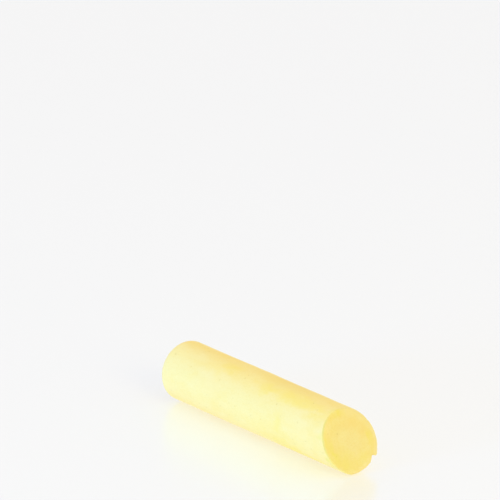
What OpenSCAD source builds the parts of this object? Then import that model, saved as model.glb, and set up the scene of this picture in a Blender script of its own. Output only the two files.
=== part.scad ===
// Blackboard chalk stick, 5/8 inch. One solid moulding: a slightly drafted round bar
// with a square, softly rounded end and a slanted end whose rim is worn and chipped.
// It stands on its square end. The slanted face leans towards the front, -Y.

/* [Stick] */
// Length from the square end to the top of the slanted end, before wear
stick_length = 74; // [50:0.5:120]
// Diameter at the square end, where the stick is thickest
stick_diameter = 15.9; // [12:0.1:24]
// How much narrower the stick is at its slanted end, so that it leaves the mould
draft = 0.5; // [0.1:0.1:1.5]

/* [Square end] */
// Radius of the soft rim round the square end
base_rim_radius = 1; // [0.3:0.1:3]

/* [Slanted end] */
// Angle between the slanted face and a square cut
face_angle = 25.5; // [10:0.5:40]
// Width of the worn rim, across the slanted face
rim_wear = 0.4; // [0.2:0.1:1.2]
// Width of the worn rim along the side that rubbed most, -X
side_wear = 0.8; // [0.2:0.1:1.2]

/* [Chipped edge] */
// Direction of the step where the chip broke short, counted round the stick from +X
chip_direction = 134; // [100:1:150]
// How far the chip reaches in across the slanted face, at the step
chip_depth = 0.9; // [0.5:0.1:1.5]
// How far the chip reaches down the side of the stick, at the step
chip_height = 2.1; // [1.5:0.1:5]
// How far the chip runs round the stick, level with the step, before it thins out
chip_sweep = 25; // [15:1:45]

/* [Hidden] */
$fn = 128;

base_radius = stick_diameter / 2;
tip_radius = base_radius - draft / 2;
// The face cuts the stick in an oval: its middle lies on the axis, at this height
face_rise = tip_radius * tan(face_angle);
face_height = stick_length - face_rise;
oval_half_length = tip_radius / cos(face_angle);
// Radius of the flat arcs that follow the long sides of the oval
oval_side_radius = oval_half_length * oval_half_length / tip_radius;
oval_side_shift = oval_side_radius - tip_radius;
// The chip broke off along a cone that is as wide as the stick at the foot of the step.
// In plan its rim passes through that foot and through the place where the chip ends.
step_foot = (tip_radius - chip_depth) * [cos(chip_direction), sin(chip_direction)];
step_height = face_height + step_foot.y * tan(face_angle);
chip_end_direction = chip_direction - chip_sweep;
chip_end = tip_radius * [cos(chip_end_direction), sin(chip_end_direction)];
chip_chord = step_foot - chip_end;
chord_length = norm(chip_chord);
cone_setback = sqrt(tip_radius * tip_radius - chord_length * chord_length / 4);
cone_middle = (step_foot + chip_end) / 2
    + cone_setback / chord_length * [-chip_chord.y, chip_chord.x];
cone_taper = chip_depth / chip_height;
cone_rise = tip_radius / cone_taper;
// Longer than the stick in any direction
reach = stick_length + stick_diameter;

// Half section of the bar, revolved: flat base, rounded rim, drafted side
module drafted_bar() {
    rotate_extrude()
        union() {
            square([base_radius - base_rim_radius, stick_length]);
            translate([base_radius - base_rim_radius, base_rim_radius])
                circle(base_rim_radius);
            polygon([
                [0, base_rim_radius],
                [base_radius, base_rim_radius],
                [tip_radius, stick_length],
                [0, stick_length]
            ]);
        }
}

// Puts its children on the slanted face, with +Z square to it
module on_face() {
    translate([0, 0, face_height])
        rotate([face_angle, 0, 0])
            children();
}

// A cone square to the face that opens downwards at 45 degrees. Its top lies in the
// face, smaller than the rim by the width of the wear.
module worn_cone(rim_radius, wear) {
    translate([0, 0, -reach])
        cylinder(h = reach, r1 = rim_radius - wear + reach, r2 = rim_radius - wear);
}

// The slanted face and its worn rim: one cone eases the two ends of the oval,
// and one cone on either side eases its long sides
module slanted_end() {
    on_face()
        intersection() {
            worn_cone(oval_half_length, rim_wear);
            translate([-oval_side_shift, 0, 0])
                worn_cone(oval_side_radius, rim_wear);
            translate([oval_side_shift, 0, 0])
                worn_cone(oval_side_radius, side_wear);
        }
}

// The flake that broke off: a quarter of the space round the stick, from the step
// on, without the pointed cone that stayed behind
module chip() {
    translate([0, 0, step_height])
        difference() {
            rotate([0, 0, chip_direction - 90])
                translate([0, 0, -reach / 2])
                    cube(reach);
            translate([cone_middle.x, cone_middle.y, -reach])
                cylinder(h = reach + cone_rise, r1 = tip_radius + cone_taper * reach, r2 = 0);
        }
}

module chalk_stick() {
    color("khaki")
        difference() {
            intersection() {
                drafted_bar();
                slanted_end();
            }
            chip();
        }
}

chalk_stick();
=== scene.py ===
import math

import bmesh
import bpy
from mathutils import Matrix, Vector


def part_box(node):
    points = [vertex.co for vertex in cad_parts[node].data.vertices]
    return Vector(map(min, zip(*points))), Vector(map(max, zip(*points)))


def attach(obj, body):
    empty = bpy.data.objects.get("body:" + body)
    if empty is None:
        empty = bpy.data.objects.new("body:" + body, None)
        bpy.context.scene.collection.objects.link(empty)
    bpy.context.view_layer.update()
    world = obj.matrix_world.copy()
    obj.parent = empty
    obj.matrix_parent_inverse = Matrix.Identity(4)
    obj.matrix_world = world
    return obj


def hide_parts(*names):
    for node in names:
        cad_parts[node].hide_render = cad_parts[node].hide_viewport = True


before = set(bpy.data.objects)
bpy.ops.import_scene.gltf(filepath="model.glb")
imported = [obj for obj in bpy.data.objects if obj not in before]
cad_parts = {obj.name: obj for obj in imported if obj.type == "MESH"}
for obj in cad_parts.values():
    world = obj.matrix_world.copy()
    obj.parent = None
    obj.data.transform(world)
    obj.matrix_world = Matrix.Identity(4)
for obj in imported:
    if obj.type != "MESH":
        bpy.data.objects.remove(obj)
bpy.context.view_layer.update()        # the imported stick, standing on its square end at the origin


# ---------- The bar of the stick ----------
# Blackboard chalk, of gypsum and chalk powder with a little yellow pigment, cast wet in
# one piece. A slight draft let it slide out of its mould, and its square end has a soft rim.

MM = 0.001
base_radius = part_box("chalk_stick")[1].x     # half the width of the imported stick
draft = 0.25 * MM                            # taken off the radius by the slanted end
tip_radius = base_radius - draft
stick_length = 74 * MM                       # up to the slanted end, before it wore
square_rim = 1.0 * MM                        # radius of the soft rim round the square end
bar_sides = 256                              # flats round the bar, before it gets its skin


def pick_faces(piece, wanted):
    """Selects, in edit mode, just the faces for which wanted(face) holds."""
    bpy.ops.mesh.select_mode(type="FACE")
    bpy.ops.mesh.select_all(action="DESELECT")
    shape = bmesh.from_edit_mesh(piece.data)
    for face in shape.faces:
        face.select_set(wanted(face))
    bmesh.update_edit_mesh(piece.data)


bpy.ops.object.select_all(action="DESELECT")
bpy.ops.mesh.primitive_cylinder_add(
    vertices=bar_sides, radius=base_radius, depth=stick_length, location=(0, 0, stick_length / 2)
)
stick = bpy.context.object
stick.name = stick.data.name = "cast_stick"
bpy.ops.object.transform_apply(location=True, rotation=True, scale=True)

# The draft narrows the whole bar evenly towards its head
bpy.ops.object.mode_set(mode="EDIT")
pick_faces(stick, lambda face: face.normal.z > 0.9)
narrowing = tip_radius / base_radius
bpy.ops.transform.resize(value=(narrowing, narrowing, 1), center_override=(0, 0, stick_length))

# The square end gets its soft rim
pick_faces(stick, lambda face: face.normal.z < -0.99)
bpy.ops.mesh.region_to_loop()
bpy.ops.mesh.bevel(offset=square_rim, segments=8, profile=0.5, affect="EDGES")


# ---------- The slanted end ----------
# Struck off at a slant while the chalk was still green. Its rim is quite crisp, but two
# flakes have come off one side of it: both start at one abrupt step and thin out to nothing.

face_angle = math.radians(25.5)              # between the slanted face and a square cut
face_rim = 0.35 * MM                         # width of the eased rim, across the face
face_middle = Vector((0, 0, stick_length - tip_radius * math.tan(face_angle)))
face_normal = Vector((0, -math.sin(face_angle), math.cos(face_angle)))

flake_step = math.radians(132.5)             # direction of the step, where the flakes broke short
step_line = math.radians(148)                # the way the step itself runs, seen from above
step_inset = 0.7 * MM                        # how far in from the rim the middle of the step lies
# How far in each flake reaches across the face, and how far down the side, both at the
# step, and how far round the stick it runs
flakes = (
    (0.6 * MM, 1.5 * MM, math.radians(64)),
    (1.5 * MM, 2.4 * MM, math.radians(22)),
)


def around(direction, distance):
    """The place at a distance from the axis of the stick, in a direction counted from +X."""
    return Vector((distance * math.cos(direction), distance * math.sin(direction), 0))


# The cut right through the bar, and its eased rim
bpy.ops.mesh.select_all(action="SELECT")
bpy.ops.mesh.bisect(plane_co=face_middle, plane_no=face_normal, use_fill=True, clear_outer=True)
pick_faces(stick, lambda face: face.normal.dot(face_normal) > 0.99)
bpy.ops.mesh.region_to_loop()
bpy.ops.mesh.bevel(offset=face_rim, segments=3, profile=0.5, affect="EDGES")
bpy.ops.object.mode_set(mode="OBJECT")


def only(piece):
    """Leaves one object selected and active, so that an operator acts on it alone."""
    bpy.ops.object.select_all(action="DESELECT")
    piece.select_set(True)
    bpy.context.view_layer.objects.active = piece


def apply_modifier(piece, kind, **settings):
    """Adds a modifier with its settings and applies it."""
    only(piece)
    modifier = piece.modifiers.new(kind.lower(), kind)
    for name, value in settings.items():
        setattr(modifier, name, value)
    bpy.ops.object.modifier_apply(modifier=modifier.name)


# A flake is a block beyond the step, without the cone that stayed behind. Level with the
# foot of the step, that cone passes through the foot and through the flake's thin end.
step_middle = around(flake_step, tip_radius - step_inset)
flake_block = 2 * base_radius                # big enough to reach past the stick on every side
cone_radius = 10 * MM                        # of the cone, level with the foot of the step
cone_height = 1.5 * flake_block
for depth, height, sweep in flakes:
    step_foot = around(flake_step, tip_radius - depth)
    flake_end = around(flake_step - sweep, tip_radius)
    chord = step_foot - flake_end
    setback = math.sqrt(cone_radius ** 2 - chord.length_squared / 4)
    across_chord = Vector((0, 0, 1)).cross(chord).normalized()
    cone_middle = (step_foot + flake_end) / 2 + setback * across_chord
    step_level = Vector((0, 0, face_middle.z + step_foot.y * math.tan(face_angle)))
    cone_spread = depth / height * cone_height / 2
    bpy.ops.object.select_all(action="DESELECT")
    bpy.ops.mesh.primitive_cone_add(
        vertices=bar_sides,
        radius1=cone_radius + cone_spread,
        radius2=cone_radius - cone_spread,
        depth=cone_height,
        location=cone_middle + step_level,
    )
    kept_cone = bpy.context.object
    bpy.ops.object.select_all(action="DESELECT")
    bpy.ops.mesh.primitive_cube_add(
        size=flake_block,
        location=step_middle + around(step_line - math.pi / 2, flake_block / 2) + step_level,
        rotation=(0, 0, step_line),
    )
    flake = bpy.context.object
    apply_modifier(flake, "BOOLEAN", operation="DIFFERENCE", object=kept_cone)
    apply_modifier(stick, "BOOLEAN", operation="DIFFERENCE", object=flake)
    bpy.ops.object.select_all(action="DESELECT")
    kept_cone.select_set(True)
    flake.select_set(True)
    bpy.ops.object.delete()


# ---------- The skin of the stick ----------
# Cast chalk takes the unevenness of its mould, keeps a fine grain and the pinholes of air
# bubbles, and crumbles along its edges. One side of the slanted end's rim is rubbed round.

skin_size = 0.225 * MM                       # of one face of the skin
worn_side = around(math.radians(197), 1)     # the side of the rim that rubbed most
worn_from = 0.3                              # share of the radius at which the wear sets in
worn_width = 1.2 * MM                        # how far in from the rim the rubbing reaches
crumb_width = 1 * MM                         # how far in from the rim the chalk crumbles
crisp_share = 0.2                            # how much the crisp side crumbles, the worn side 1
break_foot = step_level.z - 3 * MM           # lower than any flake reaches
break_edge = 0.3 * MM                        # how far in from its edge a break gets fully rough
cut_skin = 0.2 * MM                          # how deep the marks of the cut reach


def below_face(place):
    """How deep a place lies under the slanted face."""
    return (face_middle - place).dot(face_normal)


def inside_wall(place):
    """How far a place lies in from the side of the bar."""
    return base_radius - draft * place.z / stick_length - place.xy.length


def from_rim(place):
    """How far a place lies from the rim of the slanted face."""
    return max(below_face(place), inside_wall(place))


def worn(place):
    """1 on the worn side of the stick and 0 on the other, with a soft change between them."""
    return min(max(place.dot(worn_side) / base_radius / worn_from - 1, 0), 1)


def crumbly(place):
    """How much a place crumbles: most along the worn side of the rim, least on the crisp one."""
    return (crisp_share + (1 - crisp_share) * worn(place)) * (1 - from_rim(place) / crumb_width)


def laid_bare(place):
    """1 where a flake laid bare the inside: near the head, below the face and inside the wall."""
    if place.z < break_foot:
        return 0
    return min(below_face(place), 2 * inside_wall(place)) / break_edge


def weigh(piece, name, weight):
    """Names a group of vertices, each weighted from 0 to 1 by weight(place)."""
    group = piece.vertex_groups.new(name=name)
    for vertex in piece.data.vertices:
        share = min(max(weight(vertex.co), 0), 1)
        if share > 0:
            group.add([vertex.index], share, "REPLACE")


def press(name, size, depth, level=0.5, group="", detail=2):
    """Presses soft lumps and hollows of one size into the whole skin, or into one group."""
    pattern = bpy.data.textures.new(name, "CLOUDS")
    pattern.noise_scale = size
    pattern.noise_depth = detail
    apply_modifier(
        stick, "DISPLACE", texture=pattern, texture_coords="LOCAL",
        strength=depth, mid_level=level, vertex_group=group,
    )


# An even skin all over, smoothed a little, and much more where the rim was rubbed
apply_modifier(stick, "REMESH", mode="VOXEL", voxel_size=skin_size)
apply_modifier(stick, "SMOOTH", factor=0.5, iterations=2)
weigh(stick, "rubbed", lambda place: worn(place) * (1.5 - 1.5 * from_rim(place) / worn_width))
apply_modifier(stick, "SMOOTH", factor=0.8, iterations=14, vertex_group="rubbed")

# Where the skin crumbled, where it broke and where it was cut
weigh(stick, "edges", crumbly)
weigh(stick, "broken", laid_bare)
weigh(stick, "cut_face", lambda place: 1 - below_face(place) / cut_skin)

# Lumps and hollows, from large to small, and those that only some places have
press("mould", size=9 * MM, depth=0.16 * MM)
press("grain", size=0.8 * MM, depth=0.03 * MM)
press("crumbs", size=1.1 * MM, depth=0.35 * MM, level=0.62, group="edges")
press("break", size=0.7 * MM, depth=0.2 * MM, group="broken", detail=3)
press("cut", size=1.6 * MM, depth=0.12 * MM, group="cut_face", detail=3)
bpy.ops.object.shade_smooth()


def linear(code):
    """The linear colour that Blender works in, from an sRGB hex code."""
    shares = [int(code[i:i + 2], 16) / 255 for i in (1, 3, 5)]
    return [s / 12.92 if s <= 0.04045 else ((s + 0.055) / 1.055) ** 2.4 for s in shares] + [1]


def node(tree, kind, sockets, **settings):
    """Adds a node with its settings. A socket takes a value, or the output that feeds it."""
    new = tree.nodes.new("ShaderNode" + kind)
    for name, value in settings.items():
        setattr(new, name, value)
    for socket, value in sockets.items():
        if isinstance(value, bpy.types.NodeSocket):
            tree.links.new(value, new.inputs[socket])
        else:
            new.inputs[socket].default_value = value
    return new


SHARE, FIRST, SECOND, BLEND = 0, 6, 7, 2     # the colour sockets of a Mix node, and its result

# Cast chalk: matt and porous, so it hardly shines. Its colour is a little cloudy where
# the pigment settled unevenly, and every place that was rubbed is paler with dust. Painted
# shade darkens the pinholes, and a warm painted shade darkens the side that faces up as it lies.
chalk = bpy.data.materials.new("cast_yellow_chalk")
chalk.use_nodes = True
tree = chalk.node_tree
shader = tree.nodes["Principled BSDF"]
shader.inputs["Specular IOR Level"].default_value = 0.2
shader.inputs["Sheen Weight"].default_value = 0.06
shader.inputs["Sheen Roughness"].default_value = 0.6
place = node(tree, "TexCoord", {}).outputs["Object"]
on_face = node(
    tree, "Mapping", {"Vector": place, "Location": face_middle, "Rotation": (face_angle, 0, 0)},
    vector_type="TEXTURE",
).outputs[0]
face_depth = node(tree, "SeparateXYZ", {0: on_face}).outputs["Z"]
outwards = node(tree, "Mapping", {"Vector": place, "Scale": (1, 1, 0)}).outputs[0]
from_axis = node(tree, "VectorMath", {0: outwards}, operation="LENGTH").outputs["Value"]
direction = node(tree, "VectorMath", {0: outwards}, operation="NORMALIZE").outputs[0]

# Clouds of pigment, blotches and the grain of the powder, from large to small. All are
# drawn out along the stick. For each: its size, its roughness, and where its share starts,
# where it is full, and how much it then is.
drawn_out = node(tree, "Mapping", {"Vector": place, "Scale": (1, 1, 0.6)}).outputs[0]
patterns = []
shares = []
for size, rough, low, high, most in (
    (9 * MM, 0.5, 0.35, 0.65, 1.0),
    (2.4 * MM, 0.55, 0.4, 0.75, 0.7),
    (0.45 * MM, 0.65, 0.45, 0.75, 0.45),
):
    pattern = node(
        tree, "TexNoise",
        {"Vector": drawn_out, "Scale": 1 / size, "Detail": 4.0, "Roughness": rough},
    )
    share = node(
        tree, "MapRange",
        {"Value": pattern.outputs[0], "From Min": low, "From Max": high, "To Max": most},
    ).outputs[0]
    patterns.append(pattern)
    shares.append(share)
blotches, grain = patterns[1:]
cloudy, blotchy, grainy = shares
colour = node(
    tree, "Mix", {SHARE: cloudy, FIRST: linear("#FAE694"), SECOND: linear("#FAEBA5")},
    data_type="RGBA",
).outputs[BLEND]
for share, tint in ((blotchy, "#FAEBA8"), (grainy, "#F6E18E")):
    colour = node(
        tree, "Mix", {SHARE: share, FIRST: colour, SECOND: linear(tint)}, data_type="RGBA",
    ).outputs[BLEND]

# The cut face went through the fresh middle, so it is deeper and holds less dust. It is
# palest in the middle, where it dried last.
cut = node(
    tree, "MapRange", {"Value": face_depth, "From Min": -0.3 * MM, "From Max": -0.12 * MM}
).outputs[0]
from_middle = node(
    tree, "MapRange", {"Value": from_axis, "From Min": 2 * MM, "From Max": 7 * MM}
).outputs[0]
fresh = node(
    tree, "Mix", {SHARE: from_middle, FIRST: linear("#EFE29B"), SECOND: linear("#F1E18A")},
    data_type="RGBA",
).outputs[BLEND]
for share, tint in ((blotchy, "#F1E8A2"), (grainy, "#E8D678")):
    fresh = node(
        tree, "Mix", {SHARE: share, FIRST: fresh, SECOND: linear(tint)}, data_type="RGBA",
    ).outputs[BLEND]
colour = node(
    tree, "Mix", {SHARE: cut, FIRST: colour, SECOND: fresh}, data_type="RGBA",
).outputs[BLEND]

# Smudges: pigment that lies thicker in the skin, dust that is rubbed into it, and painted
# warm shade, a darker, more orange tint on the side that faces up as the stick lies and on
# the upper half of the slanted face. Each has its middle and its reach along X, Y and Z, in
# mm, its strength and its tint. The blotches shift them about, which makes their outlines
# ragged.
raggedness = 5 * MM
shift = node(
    tree, "VectorMath", {0: blotches.outputs["Color"], 1: (0.5, 0.5, 0.5)}, operation="SUBTRACT"
).outputs[0]
ragged_place = node(
    tree, "VectorMath", {0: shift, 1: (raggedness, raggedness, raggedness), 2: place},
    operation="MULTIPLY_ADD",
).outputs[0]
pigment, dust = linear("#F9E470"), linear("#FCF0C0")
# The second tint here is painted warm shade, darker and more orange than the chalk
face_pigment, warm_painted_shade = linear("#EDE374"), linear("#F0DB88")
for middle, reach, strength, tint in (
    ((1.1, -7.7, 24.5), (2.0, 2.0, 3.2), 0.6, pigment),
    ((2.4, -7.4, 41.8), (1.6, 2.0, 3.4), 0.6, pigment),
    ((1.9, -7.6, 50.5), (2.6, 2.0, 6.0), 0.6, pigment),
    ((2.2, -7.5, 56.6), (2.2, 2.0, 4.6), 0.5, pigment),
    ((2.4, -7.4, 62.5), (1.8, 2.0, 4.0), 0.5, pigment),
    ((7.4, -2.6, 50.3), (2.0, 3.4, 1.5), 0.35, pigment),
    ((6.5, 4.4, 52.8), (2.0, 2.2, 5.4), 0.7, pigment),
    ((5.8, 5.2, 61.0), (2.2, 2.2, 6.0), 0.6, pigment),
    ((7.3, 2.7, 46.0), (2.4, 4.5, 15.0), 0.35, pigment),
    ((1.2, -7.8, 43.0), (3.6, 2.0, 14.0), 0.2, pigment),
    # Painted warm shade along the side that faces up as the stick lies
    ((-3.3, -7.2, 46.0), (3.6, 2.4, 14.0), 0.45, warm_painted_shade),
    ((3.4, -7.0, 50.5), (2.4, 2.0, 3.4), 0.3, pigment),
    ((2.8, -7.3, 20.5), (2.4, 2.0, 3.0), 0.2, pigment),
    ((5.6, -5.2, 21.0), (3.0, 3.4, 6.0), 0.3, dust),
    ((6.3, -4.3, 68.0), (2.0, 2.4, 2.4), 0.35, dust),
    ((7.0, -3.5, 60.0), (2.5, 3.2, 7.0), 0.2, dust),
    ((-0.3, -6.9, 67.0), (1.8, 1.2, 1.2), 0.8, face_pigment),
    ((6.1, -3.0, 68.9), (1.2, 2.6, 2.0), 0.7, face_pigment),
    ((5.9, 1.2, 70.9), (1.3, 2.6, 2.0), 0.9, face_pigment),
    ((3.9, 5.0, 72.6), (1.8, 1.8, 1.6), 0.5, face_pigment),
    ((3.3, 2.6, 71.6), (2.2, 2.4, 2.0), 0.4, face_pigment),
    ((-5.7, 0.6, 70.6), (0.9, 2.2, 1.4), 0.8, face_pigment),
    # Painted warm shade on the upper half of the slanted face
    ((-2.8, -4.0, 68.4), (3.6, 2.8, 2.0), 0.7, warm_painted_shade),
    ((-4.5, -1.2, 69.8), (2.0, 2.4, 2.0), 0.7, warm_painted_shade),
    ((-1.3, 4.6, 72.5), (2.6, 1.8, 1.6), 0.4, face_pigment),
    ((-3.6, 6.4, 72.6), (2.4, 1.4, 1.4), 0.6, dust),
    ((1.0, 7.2, 73.4), (3.0, 1.0, 1.2), 0.5, dust),
):
    into = node(
        tree, "Mapping",
        {
            "Vector": ragged_place,
            "Location": [m * MM for m in middle],
            "Scale": [r * MM for r in reach],
        },
        vector_type="TEXTURE",
    ).outputs[0]
    distance = node(tree, "VectorMath", {0: into}, operation="LENGTH").outputs["Value"]
    share = node(
        tree, "MapRange",
        {"Value": distance, "From Min": 1.4, "From Max": 0.0, "To Max": strength},
    ).outputs[0]
    colour = node(
        tree, "Mix", {SHARE: share, FIRST: colour, SECOND: tint}, data_type="RGBA",
    ).outputs[BLEND]

# Dust sits in ragged bands on the worn side of the rim, and a thin darker olive line runs
# along the crisp side. Each band has its middle direction, the cosines of the angles from it
# where it has faded out and where it is full, its width on the face and down the side, and its
# tint.
dusty_side = around(math.radians(224), 1)
# The side of the rim with the thin darker olive line
olive_line_side = around(math.radians(332), 1)
ragged = node(
    tree, "MapRange",
    {"Value": blotches.outputs[0], "From Min": 0.35, "From Max": 0.55, "To Min": 0.5},
).outputs[0]
for side, faded, full, width, depth, tint in (
    (worn_side, 0.3, 0.6, 1.5 * MM, 1.5 * MM, "#F1E4A0"),
    (dusty_side, 0.75, 0.92, 2.5 * MM, 0.3 * MM, "#F0E29A"),
    (olive_line_side, 0.7, 0.9, 0.4 * MM, 0.4 * MM, "#E6DC84"),
):
    towards = node(
        tree, "VectorMath", {0: direction, 1: side}, operation="DOT_PRODUCT"
    ).outputs["Value"]
    band = ragged
    for value, low, high in (
        (from_axis, tip_radius - width, tip_radius - width / 2),
        (face_depth, -depth, -depth / 2),
        (towards, faded, full),
    ):
        mask = node(tree, "MapRange", {"Value": value, "From Min": low, "From Max": high})
        band = node(tree, "Math", {0: band, 1: mask.outputs[0]}, operation="MULTIPLY").outputs[0]
    colour = node(
        tree, "Mix", {SHARE: band, FIRST: colour, SECOND: linear(tint)}, data_type="RGBA",
    ).outputs[BLEND]

# The rim of the square end has rubbed pale as well
ragged_height = node(tree, "SeparateXYZ", {0: ragged_place}).outputs["Z"]
foot_rim = node(
    tree, "MapRange",
    {"Value": ragged_height, "From Min": 5 * MM, "From Max": 0.5 * MM, "To Max": 0.04},
).outputs[0]
colour = node(
    tree, "Mix", {SHARE: foot_rim, FIRST: colour, SECOND: dust}, data_type="RGBA",
).outputs[BLEND]

# Pinholes of burst air bubbles, drawn about twice their real size so that they show and
# darkened with painted shade, and a few dark specks that were caught in the mix
bubbles = node(
    tree, "TexVoronoi", {"Vector": place, "Scale": 1 / (1.3 * MM), "Randomness": 1.0}
)
hole = node(
    tree, "MapRange", {"Value": bubbles.outputs["Distance"], "From Min": 0.2, "From Max": 0.08}
).outputs[0]
chance = node(tree, "SeparateXYZ", {0: bubbles.outputs["Color"]}).outputs[0]
some = node(
    tree, "MapRange", {"Value": chance, "From Min": 0.82, "From Max": 0.84}
).outputs[0]
pinholes = node(tree, "Math", {0: hole, 1: some}, operation="MULTIPLY").outputs[0]
# Painted shade: the pinholes are darkened towards a dull ochre
pinhole_painted_shade = node(tree, "Math", {0: pinholes, 1: 0.2}, operation="MULTIPLY").outputs[0]
dirt = node(
    tree, "TexVoronoi", {"Vector": place, "Scale": 1 / (4.2 * MM), "Randomness": 1.0}
).outputs["Distance"]
specks = node(
    tree, "MapRange", {"Value": dirt, "From Min": 0.035, "From Max": 0.02, "To Max": 0.14}
).outputs[0]
for share, tint in ((pinhole_painted_shade, "#D9BF6E"), (specks, "#8F8A5C")):
    colour = node(
        tree, "Mix", {SHARE: share, FIRST: colour, SECOND: linear(tint)}, data_type="RGBA",
    ).outputs[BLEND]
tree.links.new(colour, shader.inputs["Base Color"])

# The grain, blotches and pinholes as height, and fine marks where the face was struck off.
# The factors are heights in mm.
stretched = node(tree, "Mapping", {"Vector": on_face, "Scale": (1, 0.12, 1)}).outputs[0]
struck = node(
    tree, "TexNoise", {"Vector": stretched, "Scale": 1 / (0.5 * MM), "Detail": 3.0}
).outputs[0]
marks = node(tree, "Math", {0: struck, 1: cut}, operation="MULTIPLY").outputs[0]
height = node(tree, "Math", {0: pinholes, 1: -0.08}, operation="MULTIPLY").outputs[0]
for pattern, depth in ((grain.outputs[0], 0.05), (blotches.outputs[0], 0.06), (marks, 0.02)):
    height = node(
        tree, "Math", {0: pattern, 1: depth, 2: height}, operation="MULTIPLY_ADD"
    ).outputs[0]
bump = node(tree, "Bump", {"Height": height, "Distance": MM, "Strength": 0.9}).outputs[0]
tree.links.new(bump, shader.inputs["Normal"])
rubbed = node(
    tree, "MapRange", {"Value": blotches.outputs[0], "To Min": 0.86, "To Max": 0.98}
).outputs[0]
tree.links.new(rubbed, shader.inputs["Roughness"])
stick.data.materials.clear()
stick.data.materials.append(chalk)

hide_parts("chalk_stick")
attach(stick, "root")


# ---------- The table ----------
# A white, slightly glossy table top. The stick lies on it on its side, and so the table is
# upright here and touches that side. From behind, it doesn't show and the stick does.

table_azimuth = math.radians(-101.5)         # the side of the stick that is up as it lies
table_up = around(table_azimuth, 1)
table_along = Vector((0, 0, 1))
table_across = table_along.cross(table_up)
bpy.ops.object.select_all(action="DESELECT")
bpy.ops.mesh.primitive_plane_add(size=3)
table = bpy.context.object
table.name = "table"
turn = Matrix((table_across, table_along, table_up)).transposed().to_4x4()
table.matrix_world = Matrix.Translation(-table_up * base_radius) @ turn

# White laminate: bright and plain, with a soft mirror image of what lies on it. A faint cool
# glow makes up for the warm light of the room, so that it looks white.
laminate = bpy.data.materials.new("white_laminate")
laminate.use_nodes = True
tree = laminate.node_tree
surface = tree.nodes["Principled BSDF"]
surface.inputs["Base Color"].default_value = linear("#F4F6F8")
surface.inputs["Metallic"].default_value = 0.3
surface.inputs["Roughness"].default_value = 0.25
surface.inputs["Emission Color"].default_value = (0.06, 0.11, 0.23, 1)
surface.inputs["Emission Strength"].default_value = 1
one_sided = node(
    tree, "MixShader",
    {
        0: node(tree, "NewGeometry", {}).outputs["Backfacing"],
        1: surface.outputs[0],
        2: node(tree, "BsdfTransparent", {}).outputs[0],
    },
)
tree.links.new(one_sided.outputs[0], tree.nodes["Material Output"].inputs[0])
table.data.materials.append(laminate)

# It neither shades the stick nor lights it, so the light can reach the stick from below
table.visible_diffuse = False
table.visible_shadow = False


# ---------- The light and the camera ----------
# Soft studio light in a pale room: a cool window, low over the table on the camera's side,
# a warm lamp, a weak warm bounce, and a cool light behind that only the far side gets.

stick_middle = Vector((0, 0, stick_length / 2))


def aim(holder, standing, target):
    """Stands a lamp or the camera in a place, level with the table, looking at a target."""
    back = (standing - target).normalized()
    right = table_up.cross(back).normalized()
    facing = Matrix((right, back.cross(right), back)).transposed().to_4x4()
    holder.matrix_world = Matrix.Translation(standing) @ facing


# Each round light has its turn, from the head of the stick round over the table, and its
# height above the table, both in degrees, its size in metres, its power in watts and its colour
light_distance = 0.9
for name, turn_deg, height_deg, size, power, colour in (
    ("window", 92, 0, 0.45, 3.0, (0.14, 0.83, 2.1)),
    ("lamp", 10, 25, 0.4, 1.6, (1, 0.84, 0.38)),
    ("bounce", 75, -60, 0.5, 0.95, (1, 0.61, 0.1)),
    ("back", -90, -12, 0.45, 2.5, (0.6, 0.9, 1.9)),
):
    light_turn = math.radians(turn_deg)
    light_rise = math.radians(height_deg)
    level = table_along * math.cos(light_turn) + table_across * math.sin(light_turn)
    outward = level * math.cos(light_rise) + table_up * math.sin(light_rise)
    lamp = bpy.data.lights.new(name, "AREA")
    lamp.shape = "DISK"
    lamp.size = size
    lamp.energy = power
    lamp.color = colour
    holder = bpy.data.objects.new(name, lamp)
    bpy.context.scene.collection.objects.link(holder)
    aim(holder, stick_middle + outward * light_distance, stick_middle)
    holder.visible_camera = False

world = bpy.data.worlds.new("studio")
bpy.context.scene.world = world
world.use_nodes = True
room = world.node_tree.nodes["Background"]
room.inputs["Color"].default_value = (1, 0.923, 0.775, 1)
room.inputs["Strength"].default_value = 0.91

# The camera itself sees the room as white as the table; its light stays warm
tree = world.node_tree
white_room = node(tree, "Background", {"Color": (0.91, 0.91, 0.91, 1)})
room_or_white = node(
    tree, "MixShader",
    {
        0: node(tree, "LightPath", {}).outputs["Is Camera Ray"],
        1: room.outputs[0],
        2: white_room.outputs[0],
    },
)
tree.links.new(room_or_white.outputs[0], tree.nodes["World Output"].inputs[0])

# The camera looks down at the stick from its slanted end, over the side of the table
view_turn = math.radians(-41.2)              # direction of the camera, counted from +X
view_rise = math.radians(49.5)
view_distance = 936.4 * MM
view_target = Vector((-10.03, -36.68, 25.02)) * MM
lens = bpy.data.cameras.new("camera")
lens.sensor_width = 36
lens.lens = 266.4
lens.clip_end = 10
camera = bpy.data.objects.new("camera", lens)
bpy.context.scene.collection.objects.link(camera)
aim(
    camera,
    stick_middle + view_distance * Vector((
        math.cos(view_rise) * math.cos(view_turn),
        math.cos(view_rise) * math.sin(view_turn),
        math.sin(view_rise),
    )),
    view_target,
)
bpy.context.scene.camera = camera
bpy.context.scene.view_settings.view_transform = "Standard"
